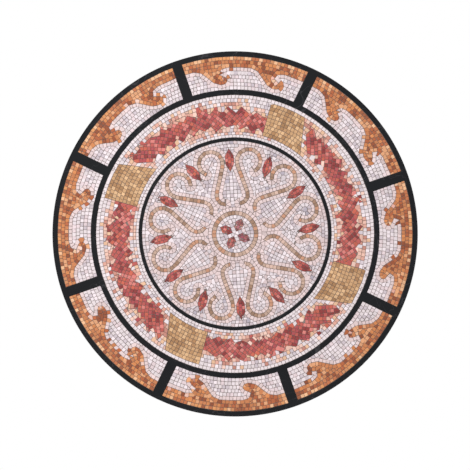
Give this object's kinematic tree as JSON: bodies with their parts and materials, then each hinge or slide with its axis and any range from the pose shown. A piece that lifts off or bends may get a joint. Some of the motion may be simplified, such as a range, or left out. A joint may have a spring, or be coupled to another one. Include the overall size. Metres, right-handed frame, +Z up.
{
  "type": "mosaic panel",
  "caption": "Round marble mosaic panel to fix on a wall: wave border, laurel garlands with ochre blocks, and a heart-scroll rosette inside black rings.",
  "frame": {"origin": "centre of the flat back", "axes": "+Z up, the stone face looks along -Y, the back looks along +Y, +X to the right as seen from the front"},
  "size_m": [1, 0.022, 1],
  "materials": {
    "mortar": "matte",
    "black_marble": "satin",
    "white_marble": "satin",
    "orange_stone": "satin",
    "ochre_stone": "satin",
    "red_stone": "satin"
  },
  "bodies": {
    "root": {"setting_bed": "mortar", "black_frame": "black_marble", "black_inner_ring": "black_marble", "wave_scroll_1": "orange_stone", "wave_ground_1": "white_marble", "wave_scroll_2": "orange_stone", "wave_ground_2": "white_marble", "wave_scroll_3": "orange_stone", "wave_ground_3": "white_marble", "wave_scroll_4": "orange_stone", "wave_ground_4": "white_marble", "wave_scroll_5": "orange_stone", "wave_ground_5": "white_marble", "wave_scroll_6": "orange_stone", "wave_ground_6": "white_marble", "wave_scroll_7": "orange_stone", "wave_ground_7": "white_marble", "wave_scroll_8": "orange_stone", "wave_ground_8": "white_marble", "ochre_block_1": "ochre_stone", "laurel_garland_1": "red_stone", "ochre_block_2": "ochre_stone", "laurel_garland_2": "red_stone", "ochre_block_3": "ochre_stone", "laurel_garland_3": "red_stone", "ochre_block_4": "ochre_stone", "laurel_garland_4": "red_stone", "garland_ground": "white_marble", "heart_1_strand_right": "ochre_stone", "heart_1_strand_left": "ochre_stone", "heart_bud_1": "red_stone", "gap_bud_1": "red_stone", "heart_2_strand_right": "ochre_stone", "heart_2_strand_left": "ochre_stone", "heart_bud_2": "red_stone", "gap_bud_2": "red_stone", "heart_3_strand_right": "ochre_stone", "heart_3_strand_left": "ochre_stone", "heart_bud_3": "red_stone", "gap_bud_3": "red_stone", "heart_4_strand_right": "ochre_stone", "heart_4_strand_left": "ochre_stone", "heart_bud_4": "red_stone", "gap_bud_4": "red_stone", "heart_5_strand_right": "ochre_stone", "heart_5_strand_left": "ochre_stone", "heart_bud_5": "red_stone", "gap_bud_5": "red_stone", "heart_6_strand_right": "ochre_stone", "heart_6_strand_left": "ochre_stone", "heart_bud_6": "red_stone", "gap_bud_6": "red_stone", "medallion_ground": "white_marble", "eye_petal_1": "red_stone", "eye_petal_2": "red_stone", "eye_petal_3": "red_stone", "eye_petal_4": "red_stone", "eye_ring": "ochre_stone", "eye_ground": "white_marble"}
  },
  "joints": []
}
